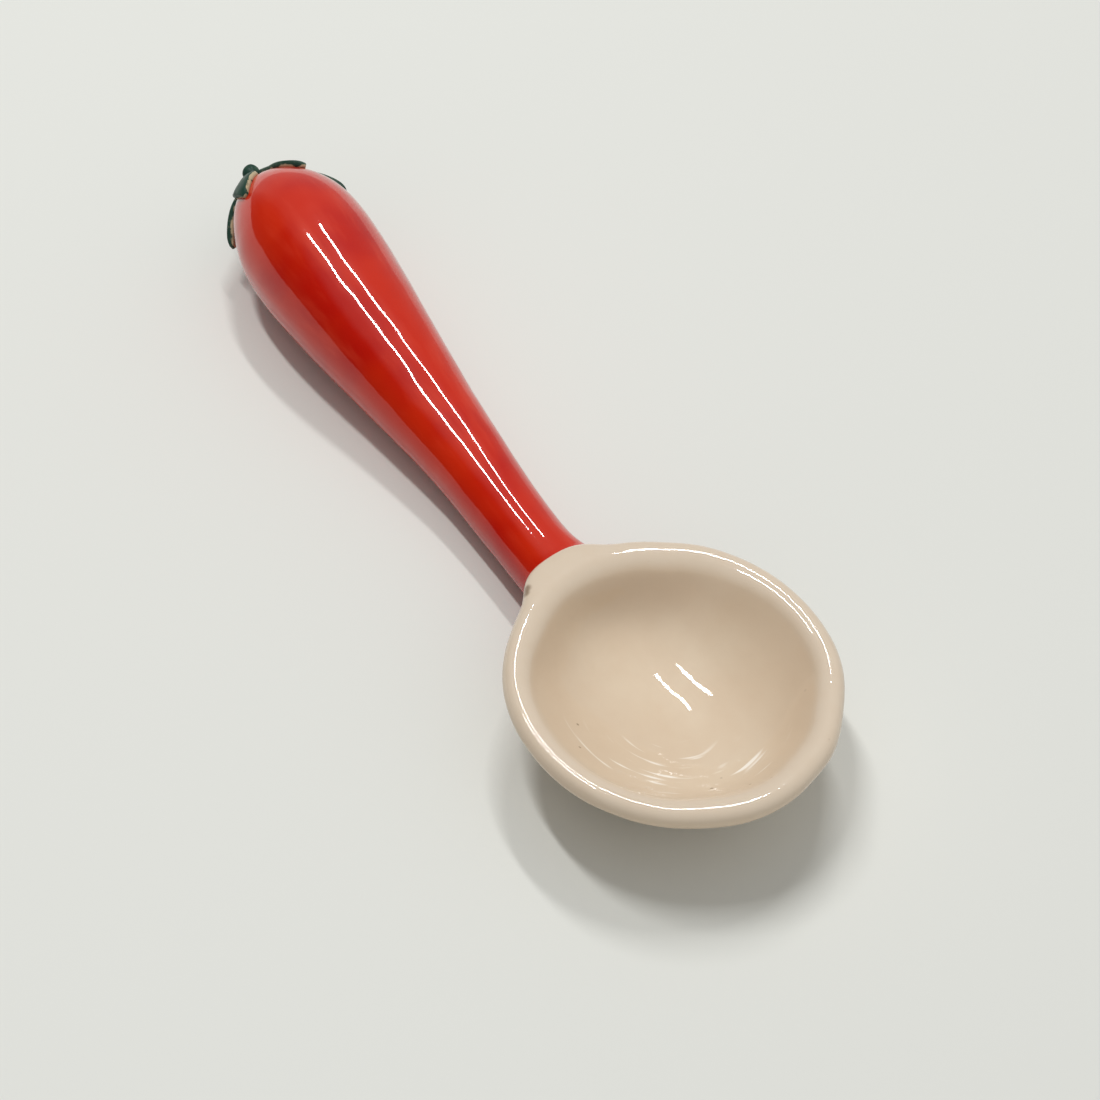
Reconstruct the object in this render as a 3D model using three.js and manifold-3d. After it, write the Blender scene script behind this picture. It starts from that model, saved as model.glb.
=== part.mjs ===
// Ceramic spoon: a shallow round bowl with a thick rolled lip, and a handle shaped as a pepper, which
// swells to a rounded end under a calyx of five leaves and a short stem.
// Millimetres, +Z up. The spoon lies on its table face, with the bowl towards +X and the stem towards -X.
import * as THREE from "three";
import { mergeVertices } from "three/addons/utils/BufferGeometryUtils.js";
import Module from "manifold-3d";

// Driving dimensions

// Gap left between pieces that a potter joins with slip
const JOIN_GAP = 0.3;

// Bowl
const BOWL_WIDTH = 47.6;
const BOWL_LENGTH = 50.8;
const BOWL_HEIGHT = 16.4;
const LIP_ROLL_OUT = 1.7;
const LIP_ROLL_IN = 4;
const FLOOR_THICKNESS = 5.6;
const FOOT_WIDTH = 15;
const LIP_SLOPE_OUT = THREE.MathUtils.degToRad(49);
const LIP_SLOPE_IN = THREE.MathUtils.degToRad(50);
const OUTSIDE_ROUNDING = 0.65;
const HOLLOW_ROUNDING = 0.66;
const TAB_REACH = 2.3;
const TAB_SPREAD = THREE.MathUtils.degToRad(17);

// Handle, with its reaches measured from the bowl's upright axis
const ROOT_REACH = 15.5;
const NECK_REACH = 31;
const BELLY_REACH = 109.5;
const HANDLE_REACH = 129;
const NECK_WIDTH = 11.4;
const BELLY_WIDTH = 23.4;
const FLARE_WIDTH = 15.2;
const HEEL_RISE = 4.5;
const NECK_LIFT = 0.4;
const BELLY_FLAT_DEPTH = 0.25;
const SWELL_POWER = 1.34;
const END_POWER = 2.2;

// Calyx, with each leaf's turn in degrees about the handle, from upright towards +Y, and its length and
// width as shares of the largest leaf's
const SEPAL_LENGTH = 13.5;
const SEPAL_WIDTH = 7.4;
const SEPALS = [
  { turn: 33, long: 0.78, wide: 0.58 },
  { turn: 74, long: 1, wide: 0.54 },
  { turn: 172, long: 0.63, wide: 0.89 },
  { turn: -113, long: 0.81, wide: 0.89 },
  { turn: -42, long: 0.93, wide: 1 },
];
const SEPAL_BASE_WIDTH = 1.3;
const SEPAL_TIP_WIDTH = 0.8;
const SEPAL_THICKNESS = 0.8;
const SEPAL_TIP_LIFT = 0.2;
const SEPAL_WIDEST = 0.4;
const SEPAL_TAPER_POWER = 1.3;
const STEM_WIDTH = 2.8;
const STEM_LENGTH = 5.2;
const STEM_BASE_WIDTH = 4.4;
const STEM_BEND = THREE.MathUtils.degToRad(75);

// Mesh fineness
const BOWL_SIDES = 60;
const CURVE_STEPS = 12;
const HANDLE_SIDES = 40;
const BODY_STEPS = 36;
const END_STEPS = 12;
const END_SAMPLES = 120;
const SEPAL_STEPS = 10;
const SEPAL_COLUMNS = 4;
const STEM_SIDES = 16;

const GLAZES = {
  cream: { color: 0xdcc7af, roughness: 0.18, metalness: 0 },
  red: { color: 0xbd2f1e, roughness: 0.12, metalness: 0 },
  green: { color: 0x384840, roughness: 0.2, metalness: 0 },
};

const wasm = await Module();
wasm.setup();

// A closed geometry with its seams welded, holding positions only
function welded(geometry) {
  const bare = new THREE.BufferGeometry();
  bare.setAttribute("position", geometry.getAttribute("position"));
  bare.setIndex(geometry.index);
  return mergeVertices(bare, 1e-4);
}

function solidOf(geometry) {
  const closed = welded(geometry);
  return new wasm.Manifold(
    new wasm.Mesh({
      numProp: 3,
      vertProperties: new Float32Array(closed.getAttribute("position").array),
      triVerts: new Uint32Array(closed.index.array),
    }),
  );
}

function geometryOf(solid) {
  const mesh = solid.getMesh();
  const geometry = new THREE.BufferGeometry();
  geometry.setAttribute("position", new THREE.BufferAttribute(mesh.vertProperties, 3));
  geometry.setIndex(new THREE.BufferAttribute(mesh.triVerts, 1));
  return geometry;
}

// Moves every vertex of a geometry to where the rule puts it
function reshape(geometry, rule) {
  const positions = geometry.getAttribute("position");
  const point = new THREE.Vector3();
  for (let i = 0; i < positions.count; i += 1) {
    rule(point.fromBufferAttribute(positions, i));
    positions.setXYZ(i, point.x, point.y, point.z);
  }
  return geometry;
}

function named(name, geometry, glaze) {
  geometry.computeVertexNormals();
  const mesh = new THREE.Mesh(geometry, new THREE.MeshStandardMaterial(GLAZES[glaze]));
  mesh.name = name;
  return mesh;
}

// Bowl

// The lip's crest is where its tight outer roll meets its wide inner one
const crest = new THREE.Vector2(BOWL_WIDTH / 2 - LIP_ROLL_OUT, BOWL_HEIGHT);
const stretchAlong = BOWL_LENGTH / BOWL_WIDTH;

// Draws the foot, the outside wall and the lip as far as its crest, moved outwards by grow
function drawOutside(section, grow) {
  const radius = LIP_ROLL_OUT + grow;
  const centre = new THREE.Vector2(crest.x, crest.y - LIP_ROLL_OUT);
  const away = new THREE.Vector2(Math.sin(LIP_SLOPE_OUT), -Math.cos(LIP_SLOPE_OUT));
  const top = centre.clone().addScaledVector(away, radius);
  const foot = new THREE.Vector2(FOOT_WIDTH / 2, -grow);
  const corner = new THREE.Vector2(top.x - (top.y + grow) / Math.tan(LIP_SLOPE_OUT), -grow);
  const low = foot.clone().lerp(corner, OUTSIDE_ROUNDING);
  const high = top.clone().lerp(corner, OUTSIDE_ROUNDING);
  section.moveTo(0, -grow);
  section.lineTo(foot.x, foot.y);
  section.bezierCurveTo(low.x, low.y, high.x, high.y, top.x, top.y);
  section.absarc(centre.x, centre.y, radius, LIP_SLOPE_OUT - Math.PI / 2, Math.PI / 2);
}

// Draws the inner side of the lip, from its crest, and the hollow
function drawHollow(section) {
  const centre = new THREE.Vector2(crest.x, crest.y - LIP_ROLL_IN);
  const away = new THREE.Vector2(-Math.sin(LIP_SLOPE_IN), Math.cos(LIP_SLOPE_IN));
  const top = centre.clone().addScaledVector(away, LIP_ROLL_IN);
  section.absarc(centre.x, centre.y, LIP_ROLL_IN, Math.PI / 2, Math.PI / 2 + LIP_SLOPE_IN);
  const cornerX = top.x - (top.y - FLOOR_THICKNESS) / Math.tan(LIP_SLOPE_IN);
  const corner = new THREE.Vector2(cornerX, FLOOR_THICKNESS);
  const high = top.clone().lerp(corner, HOLLOW_ROUNDING);
  const low = corner.x * HOLLOW_ROUNDING;
  section.bezierCurveTo(high.x, high.y, low, FLOOR_THICKNESS, 0, FLOOR_THICKNESS);
}

// Moves a point of the lip's outer half out over the handle's root
function swellLip(p) {
  const away = Math.atan2(p.y, -p.x);
  const spread = Math.exp(-((away / TAB_SPREAD) ** 4));
  const outer = THREE.MathUtils.smoothstep(Math.hypot(p.x, p.y), crest.x, BOWL_WIDTH / 2);
  p.x -= TAB_REACH * spread * outer;
}

// Turns a half section about the upright axis, swells its lip and stretches it along the handle
function turned(section) {
  const geometry = new THREE.LatheGeometry(section.getPoints(CURVE_STEPS), BOWL_SIDES);
  geometry.rotateX(Math.PI / 2);
  reshape(geometry, swellLip);
  geometry.scale(stretchAlong, 1, 1);
  return geometry;
}

function bowl() {
  const section = new THREE.Path();
  drawOutside(section, 0);
  drawHollow(section);
  return turned(section);
}

// The bowl's outside with the joining gap added, filled to above the handle: what the handle is coped to
function copingBlock() {
  const section = new THREE.Path();
  drawOutside(section, JOIN_GAP);
  section.lineTo(crest.x, BELLY_WIDTH + BOWL_HEIGHT);
  section.lineTo(0, BELLY_WIDTH + BOWL_HEIGHT);
  return turned(section);
}

// Handle

const neckRadius = NECK_WIDTH / 2;
const bellyRadius = BELLY_WIDTH / 2;
const endLength = HANDLE_REACH - BELLY_REACH;
const bellyCentre = bellyRadius - BELLY_FLAT_DEPTH;

function handleRadius(reach) {
  if (reach >= BELLY_REACH) {
    const share = Math.min(1, (reach - BELLY_REACH) / endLength);
    return bellyRadius * Math.sqrt(1 - share ** END_POWER);
  }
  if (reach >= NECK_REACH) {
    const share = (reach - NECK_REACH) / (BELLY_REACH - NECK_REACH);
    const swell = THREE.MathUtils.smoothstep(share ** SWELL_POWER, 0, 1);
    return THREE.MathUtils.lerp(neckRadius, bellyRadius, swell);
  }
  const share = Math.min(1, (NECK_REACH - reach) / (NECK_REACH - BOWL_LENGTH / 2));
  return THREE.MathUtils.lerp(neckRadius, FLARE_WIDTH / 2, share ** 2);
}

// The underside lies along the table, a little clear of it at the neck
function handleCentre(reach) {
  if (reach >= BELLY_REACH) return bellyCentre;
  const share = Math.max(0, (reach - NECK_REACH) / (BELLY_REACH - NECK_REACH));
  return handleRadius(reach) + THREE.MathUtils.lerp(NECK_LIFT, -BELLY_FLAT_DEPTH, share);
}

// How far the root's underside climbs to meet the bowl's wall, at a height off the handle's middle line
function heelRise(reach, height) {
  if (reach >= NECK_REACH || height >= 0) return 0;
  const share = (NECK_REACH - reach) / (NECK_REACH - ROOT_REACH);
  return (HEEL_RISE * share ** 2 * -height) / handleRadius(reach);
}

function handleSection() {
  const points = [new THREE.Vector2(0, ROOT_REACH)];
  for (let i = 0; i < BODY_STEPS; i += 1) {
    const reach = THREE.MathUtils.lerp(ROOT_REACH, BELLY_REACH, i / BODY_STEPS);
    points.push(new THREE.Vector2(handleRadius(reach), reach));
  }
  for (let i = 0; i < END_STEPS; i += 1) {
    const reach = BELLY_REACH + endLength * Math.sin(((i / END_STEPS) * Math.PI) / 2);
    points.push(new THREE.Vector2(handleRadius(reach), reach));
  }
  points.push(new THREE.Vector2(0, HANDLE_REACH));
  return points;
}

function handle() {
  const body = new THREE.LatheGeometry(handleSection(), HANDLE_SIDES);
  reshape(body, (p) => p.set(-p.y, p.x, p.z + handleCentre(p.y) + heelRise(p.y, p.z)));
  const tableSide = new THREE.BoxGeometry(2 * HANDLE_REACH, 2 * BELLY_WIDTH, BELLY_WIDTH);
  tableSide.translate(-HANDLE_REACH, 0, -BELLY_WIDTH / 2);
  return geometryOf(solidOf(body).subtract(solidOf(copingBlock())).subtract(solidOf(tableSide)));
}

// Calyx

// Points down the rounded end from its tip: the distance along the surface, and the reach and radius there
function endStations() {
  const stations = [];
  let along = 0;
  for (let i = 0; i <= END_SAMPLES; i += 1) {
    const reach = BELLY_REACH + endLength * Math.cos(((i / END_SAMPLES) * Math.PI) / 2);
    const point = new THREE.Vector2(reach, handleRadius(reach));
    const last = stations.at(-1);
    if (last) along += point.distanceTo(last.point);
    stations.push({ along, point });
  }
  return stations;
}

const stations = endStations();

// The place at a distance down the rounded end and a height off it, as reach and radius
function onEnd(along, height) {
  const after = Math.max(1, stations.findIndex((s) => s.along >= along));
  const a = stations[after - 1];
  const b = stations[after];
  const share = (along - a.along) / (b.along - a.along);
  const tangent = b.point.clone().sub(a.point).normalize();
  const place = a.point.clone().lerp(b.point, share);
  return place.add(new THREE.Vector2(tangent.y, -tangent.x).multiplyScalar(height));
}

const sepalStart = STEM_BASE_WIDTH / 2 + JOIN_GAP;

function sepalHalfWidth(width, share) {
  const wide = width / 2;
  if (share < SEPAL_WIDEST) {
    return THREE.MathUtils.lerp(SEPAL_BASE_WIDTH / 2, wide, share / SEPAL_WIDEST);
  }
  const taper = (share - SEPAL_WIDEST) / (1 - SEPAL_WIDEST);
  return THREE.MathUtils.lerp(wide, SEPAL_TIP_WIDTH / 2, taper ** SEPAL_TAPER_POWER);
}

// A leaf laid over the rounded end, its tip standing off a little
function sepal({ turn, long, wide }) {
  const middle = THREE.MathUtils.degToRad(turn);
  const length = long * SEPAL_LENGTH;
  const width = wide * SEPAL_WIDTH;
  const slab = new THREE.BoxGeometry(1, 2, SEPAL_THICKNESS, SEPAL_STEPS, SEPAL_COLUMNS, 1);
  return reshape(slab, (p) => {
    const share = p.x + 0.5;
    const lift = JOIN_GAP + SEPAL_THICKNESS / 2 + SEPAL_TIP_LIFT * share ** 2;
    const place = onEnd(sepalStart + length * share, p.z + lift);
    const angle = middle + (p.y * sepalHalfWidth(width, share)) / place.y;
    p.set(-place.x, place.y * Math.sin(angle), bellyCentre + place.y * Math.cos(angle));
  });
}

// A short stub with a spread base and a round tip, bending up as it leaves the end
function stem() {
  const tip = STEM_WIDTH / 2;
  const section = new THREE.Path();
  section.moveTo(0, 0);
  section.lineTo(STEM_BASE_WIDTH / 2, 0);
  section.quadraticCurveTo(tip, STEM_BASE_WIDTH / 4, tip, STEM_LENGTH - tip);
  section.absarc(0, STEM_LENGTH - tip, tip, 0, Math.PI / 2);
  const stub = new THREE.LatheGeometry(section.getPoints(CURVE_STEPS / 2), STEM_SIDES);
  const start = HANDLE_REACH + JOIN_GAP;
  const bendRadius = STEM_LENGTH / STEM_BEND;
  return reshape(stub, (p) => {
    const turn = p.y / bendRadius;
    const out = bendRadius - p.z;
    p.set(-start - out * Math.sin(turn), p.x, bellyCentre + bendRadius - out * Math.cos(turn));
  });
}

const spoon = new THREE.Group();
spoon.add(named("bowl", bowl(), "cream"));
spoon.add(named("handle", handle(), "red"));
SEPALS.forEach((leaf, i) => spoon.add(named(`sepal_${i + 1}`, sepal(leaf), "green")));
spoon.add(named("stem", stem(), "green"));

// Origin under the middle of the whole spoon, on the table
const middle = new THREE.Box3().setFromObject(spoon).getCenter(new THREE.Vector3());
spoon.position.set(-middle.x, -middle.y, 0);

export default spoon;
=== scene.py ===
"""Glazed ceramic spoon: a cream bowl on a red pepper-shaped handle with a green calyx."""

import math
from typing import NamedTuple

import bmesh
import bpy
from bpy.props import FloatProperty, FloatVectorProperty, PointerProperty
from mathutils import Matrix, Vector, noise


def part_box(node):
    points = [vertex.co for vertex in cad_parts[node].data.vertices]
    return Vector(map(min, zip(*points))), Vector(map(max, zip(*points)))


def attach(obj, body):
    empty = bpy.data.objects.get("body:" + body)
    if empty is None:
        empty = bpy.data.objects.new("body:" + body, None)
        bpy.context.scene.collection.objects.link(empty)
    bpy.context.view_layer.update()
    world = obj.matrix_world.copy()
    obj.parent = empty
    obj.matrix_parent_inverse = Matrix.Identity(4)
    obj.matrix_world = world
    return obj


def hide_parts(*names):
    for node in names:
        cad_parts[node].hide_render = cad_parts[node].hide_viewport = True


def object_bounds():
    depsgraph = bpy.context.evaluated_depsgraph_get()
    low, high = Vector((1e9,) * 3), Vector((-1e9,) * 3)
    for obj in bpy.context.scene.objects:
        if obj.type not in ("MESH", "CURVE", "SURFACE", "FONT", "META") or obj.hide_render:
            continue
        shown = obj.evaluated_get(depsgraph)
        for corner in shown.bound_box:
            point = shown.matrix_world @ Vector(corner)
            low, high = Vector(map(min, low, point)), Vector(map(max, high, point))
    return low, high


bl_info = {
    "name": "Pepper-handled Spoon",
    "version": (1, 0, 0),
    "blender": (4, 5, 0),
    "location": "3D View > Sidebar > Spoon",
    "description": "Dresses the spoon's frame with glazed, hand-made pieces",
    "category": "Object",
}

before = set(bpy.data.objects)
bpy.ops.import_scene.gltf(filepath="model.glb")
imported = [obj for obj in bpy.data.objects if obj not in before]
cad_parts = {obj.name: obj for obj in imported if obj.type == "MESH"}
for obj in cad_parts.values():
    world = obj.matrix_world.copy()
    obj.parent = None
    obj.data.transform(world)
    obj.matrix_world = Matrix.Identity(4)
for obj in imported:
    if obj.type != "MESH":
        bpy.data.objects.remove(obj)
cad_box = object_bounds()

MM = 0.001
BODY = "root"
LEAF_NODES = ("sepal_1", "sepal_2", "sepal_3", "sepal_4", "sepal_5")
BOWL_LENGTH = 50.8 * MM
# Points round the bowl and round the handle
SIDES = 224
# Finger dents come in two sizes: the grain of the large ones, and the fine ones' share of their depth and
# grain, with a shift of their noise
DENT_GRAIN = 13 * MM
FINE_DENT_DEPTH = 0.35
FINE_DENT_GRAIN = 0.4
FINE_DENT_SHIFT = Vector((7, 3, 5))
# A glaze is a body that mirrors almost nothing under a glassy, rippled coat
BODY_SPECULAR = 0.05
BODY_ROUGHNESS = (0.3, 0.42)
GLASS_IOR = 1.45
GLASS_ROUGHNESS = 0.03
GLASS_RIPPLE_DEPTH = 0.4 * MM
# The body's roughness is uneven: patches per metre, and the noise's levels for the smoothest and roughest
UNEVEN_GRAIN = 300
UNEVEN_LEVELS = (0.3, 0.7)
# The full middle of a speck and of a spot, as shares of their size
SPECK_CORE = 0.4
SPOT_CORE = 0.3
# Colour sockets of a mix node, which share their names with its other sockets
MIX_A = 6
MIX_B = 7
MIX_RESULT = 2

bowl_low, bowl_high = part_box("bowl")
handle_low, handle_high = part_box("handle")
bowl_axis = bowl_high.x - BOWL_LENGTH / 2


def linear(red, green, blue):
    """A colour read off a screen, 0 to 255, as the linear values a shader takes."""

    def one(value):
        share = value / 255
        return share / 12.92 if share <= 0.04045 else ((share + 0.055) / 1.055) ** 2.4

    return one(red), one(green), one(blue)


def length(name, description, default):
    """A setting in metres."""
    return FloatProperty(
        name=name,
        description=description,
        default=default,
        unit="LENGTH",
        precision=5,
    )


def angle(name, description, degrees):
    """A setting in degrees, kept in radians."""
    return FloatProperty(
        name=name,
        description=description,
        default=math.radians(degrees),
        subtype="ANGLE",
    )


def colour(name, description, red, green, blue):
    """A setting of a colour as read off a screen."""
    return FloatVectorProperty(
        name=name,
        description=description,
        default=linear(red, green, blue),
        subtype="COLOR",
        min=0,
        max=1,
    )


class SpoonBowlSettings(bpy.types.PropertyGroup):
    """Sizes and glaze of the bowl"""

    width: length("Width", "Across the lip, outside", bowl_high.y - bowl_low.y)
    reach: length("Length", "Along the handle, outside the lip", BOWL_LENGTH)
    height: length("Height", "Top of the lip above the table", bowl_high.z)
    roll_out: length("Outer roll", "Radius of the lip's outer side", 1.7 * MM)
    roll_in: length("Inner roll", "Radius of the lip's inner side", 2.7 * MM)
    roll_back: length("Back roll", "Inner radius of the lip at the back, where it is widest", 4.4 * MM)
    floor: length("Floor", "Thickness of clay under the hollow", 5.6 * MM)
    foot: length("Foot", "Width of the flat it stands on", 15 * MM)
    slope_out: angle("Outside slope", "Steepness of the outside wall under the lip", 49)
    slope_in: angle("Inside slope", "Steepness of the hollow below the lip", 50)
    tab: length("Tab", "How far the lip bulges over the handle's root", 2.3 * MM)
    dents: length("Dents", "Depth of the finger dents", 0.13 * MM)
    cream: colour("Cream", "Glaze in the hollow", 221, 203, 179)
    thick_cream: colour("Thick cream", "Glaze where it pooled", 208, 184, 157)
    lip_cream: colour("Lip cream", "Paler, pinker glaze on the lip", 216, 199, 178)
    speck: colour("Specks", "Pinholes in the cream glaze", 134, 112, 90)
    # Painted highlights: pale streaks in the hollow that stand in for the lamps' glints off its front wall
    painted_glints: colour("Wiped", "Fine pale marks where the hollow was wiped", 250, 243, 232)


class SpoonHandleSettings(bpy.types.PropertyGroup):
    """Sizes and glaze of the handle, with reaches from the bowl's upright axis"""

    neck_reach: length("Neck reach", "Where the handle is thinnest", 31 * MM)
    belly_reach: length("Belly reach", "Where the handle is thickest", 109.5 * MM)
    reach: length("Reach", "Where the rounded end stops", bowl_axis - handle_low.x)
    neck: length("Neck", "Width at the neck", 11.4 * MM)
    belly: length("Belly", "Width at the belly", handle_high.y - handle_low.y)
    flare: length("Flare", "Width where it meets the bowl", 15.2 * MM)
    side_flare: length("Side flare", "Extra flare of the root towards +Y", 8 * MM)
    root_rise: length("Root rise", "How far its top climbs to the lip", 0.6 * MM)
    heel_rise: length("Heel rise", "How far its underside climbs to the bowl's wall", 4.5 * MM)
    neck_lift: length("Neck lift", "Clearance under the neck", 0.4 * MM)
    flat_depth: length("Flat depth", "How deep the table cuts into the belly", 0.25 * MM)
    dents: length("Dents", "Depth of the finger dents", 0.13 * MM)
    red: colour("Red", "Glaze on the handle", 200, 37, 6)
    deep_red: colour("Deep red", "Glaze where it pooled", 184, 17, 3)
    thin_red: colour("Thin red", "Glaze where it ran thin", 212, 60, 36)


class SpoonCalyxSettings(bpy.types.PropertyGroup):
    """Sizes and glaze of the leaves and the stem"""

    leaf_thickness: length("Leaf thickness", "Thickness of a leaf", 1.0 * MM)
    leaf_tip: length("Leaf tip", "Width of a leaf's tip", 0.8 * MM)
    stem: length("Stem", "Width of the stem's round tip", 3.1 * MM)
    stem_neck: length("Stem neck", "Width under the stem's round tip", 2.8 * MM)
    stem_base: length("Stem base", "Width of the stem's spread base", 5.4 * MM)
    stem_length: length("Stem length", "Length along the stem", 5.2 * MM)
    stem_bend: angle("Stem bend", "How far the stem turns up", 75)
    green: colour("Green", "Glaze on the leaves", 40, 66, 56)
    pale_green: colour("Pale green", "Glaze where it ran thin", 70, 92, 77)
    cut_edge: colour("Cut edge", "Clay showing along the cut edges", 188, 174, 142)


class SpoonStageSettings(bpy.types.PropertyGroup):
    """Floor, lamps and camera"""

    floor: colour("Floor", "The pale table", 220, 221, 216)
    sky: colour("Room", "Soft light from the room", 236, 236, 234)
    lamp_height: length("Lamp height", "Tube lamps above the table", 2.0)
    lamp_length: length("Lamp length", "Length of each tube lamp", 0.86)
    lamp_width: length("Lamp width", "Width of each tube lamp", 0.1)
    camera_distance: length("Camera distance", "From the camera to the neck", 0.3011)
    camera_azimuth: angle("Camera azimuth", "Turn of the view from +Y towards -X", 56.4)
    camera_elevation: angle("Camera elevation", "Height of the view above the table", 48.92)
    camera_roll: angle("Camera roll", "Tilt of the camera about its own axis", 2.0)


def settings(context):
    """The settings of the bowl, the handle, the calyx and the stage."""
    scene = context.scene
    return scene.spoon_bowl, scene.spoon_handle, scene.spoon_calyx, scene.spoon_stage


def lerp(a, b, share):
    """The number a share of the way from a to b."""
    return a + (b - a) * share


def smooth(share):
    """A share eased at both ends, and held to 0 and 1."""
    share = min(1, max(0, share))
    return share * share * (3 - 2 * share)


def hump(turn, centre, spread, power=2):
    """1 at a centre angle, falling to nothing around it; angles in degrees."""
    off = (turn - centre + 180) % 360 - 180
    return math.exp(-abs(off / spread) ** power)


def bezier(a, b, c, d, steps):
    """Points of a cubic curve after its start."""
    points = []
    for i in range(1, steps + 1):
        t = i / steps
        s = 1 - t
        points.append(a * s**3 + b * 3 * s * s * t + c * 3 * s * t * t + d * t**3)
    return points


def skin(name, rings, start=None, end=None):
    """A closed, smooth mesh object through rings of points, with a pole at each end or a flat cap."""
    mesh = bmesh.new()
    loops = [[mesh.verts.new(p) for p in ring] for ring in rings]
    count = len(rings[0])
    for low, high in zip(loops, loops[1:]):
        for i in range(count):
            j = (i + 1) % count
            mesh.faces.new((low[i], low[j], high[j], high[i]))
    for loop, pole, turn in ((loops[0], start, -1), (loops[-1], end, 1)):
        if pole is None:
            mesh.faces.new(loop[::turn])
            continue
        top = mesh.verts.new(pole)
        for i in range(count):
            j = (i + 1) % count
            mesh.faces.new((loop[i], loop[j], top)[::turn])
    bmesh.ops.recalc_face_normals(mesh, faces=mesh.faces)
    data = bpy.data.meshes.new(name)
    mesh.to_mesh(data)
    mesh.free()
    data.shade_smooth()
    piece = bpy.data.objects.new(name, data)
    bpy.context.scene.collection.objects.link(piece)
    return piece


def dent(piece, depth, grain, weight=lambda p: 1):
    """Moves a piece's surface in and out by soft noise, in its normals' direction."""
    for vertex, normal in [(v, v.normal.copy()) for v in piece.data.vertices]:
        p = vertex.co
        fine = noise.noise(p / (grain * FINE_DENT_GRAIN) + FINE_DENT_SHIFT)
        soft = noise.noise(p / grain) + FINE_DENT_DEPTH * fine
        vertex.co = p + normal * (depth * soft * weight(p))


def finish_piece(piece, material, slot, *nodes):
    """Keeps a piece inside the frame's box, glazes it, hangs it on the body and hides the frame's parts of
    its nodes.
    """
    low, high = cad_box
    for vertex in piece.data.vertices:
        vertex.co = [min(high[i], max(low[i], vertex.co[i])) for i in range(3)]
    piece.data.materials.append(material)
    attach(piece, BODY)
    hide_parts(*nodes)


class Patches(NamedTuple):
    """Soft patches in a glaze: how many per metre, the noise's levels where one starts and is full, how
    strong it is, and the noise's detail and roughness."""

    per_metre: float
    start: float
    full: float
    strength: float = 1.0
    detail: float = 2.0
    roughness: float = 0.5


class Pinholes(NamedTuple):
    """Pinholes in a glaze: how many per metre, their size as a share of their spacing, and the patches
    that have them."""

    per_metre: float
    size: float
    where: Patches


class Ripple(NamedTuple):
    """A ripple in a glaze's surface: how many per metre, its strength and the noise's detail."""

    per_metre: float
    strength: float
    detail: float = 2.0


class NodeKit:
    """Node helpers for a material or a world, and the place on the piece or in the room that they read."""

    def __init__(self, tree, place):
        self.nodes = tree.nodes
        self.links = tree.links
        self.place = self.nodes.new("ShaderNodeTexCoord").outputs[place]

    def link(self, output, socket):
        """Feeds an output of a node into a socket."""
        self.links.new(output, socket)

    def vector_math(self, operation, vector, value):
        """A vector multiplied by a fixed one, its share along a fixed one or its distance from one."""
        node = self.nodes.new("ShaderNodeVectorMath")
        node.operation = operation
        self.link(vector, node.inputs[0])
        node.inputs[1].default_value = value
        return node.outputs["Value" if operation in ("DOT_PRODUCT", "DISTANCE") else "Vector"]

    def span(self, value, low, high, out_low=0.0, out_high=1.0):
        """A value taken from one range to another, eased at both ends and held outside it."""
        node = self.nodes.new("ShaderNodeMapRange")
        node.interpolation_type = "SMOOTHSTEP"
        self.link(value, node.inputs["Value"])
        names = ("From Min", "From Max", "To Min", "To Max")
        for name, number in zip(names, (low, high, out_low, out_high)):
            node.inputs[name].default_value = number
        return node.outputs["Result"]

    def times(self, a, b):
        """The product of two values, each a number or an output of a node."""
        node = self.nodes.new("ShaderNodeMath")
        node.operation = "MULTIPLY"
        for value, socket in zip((a, b), node.inputs):
            if isinstance(value, (int, float)):
                socket.default_value = value
            else:
                self.link(value, socket)
        return node.outputs["Value"]


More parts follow.
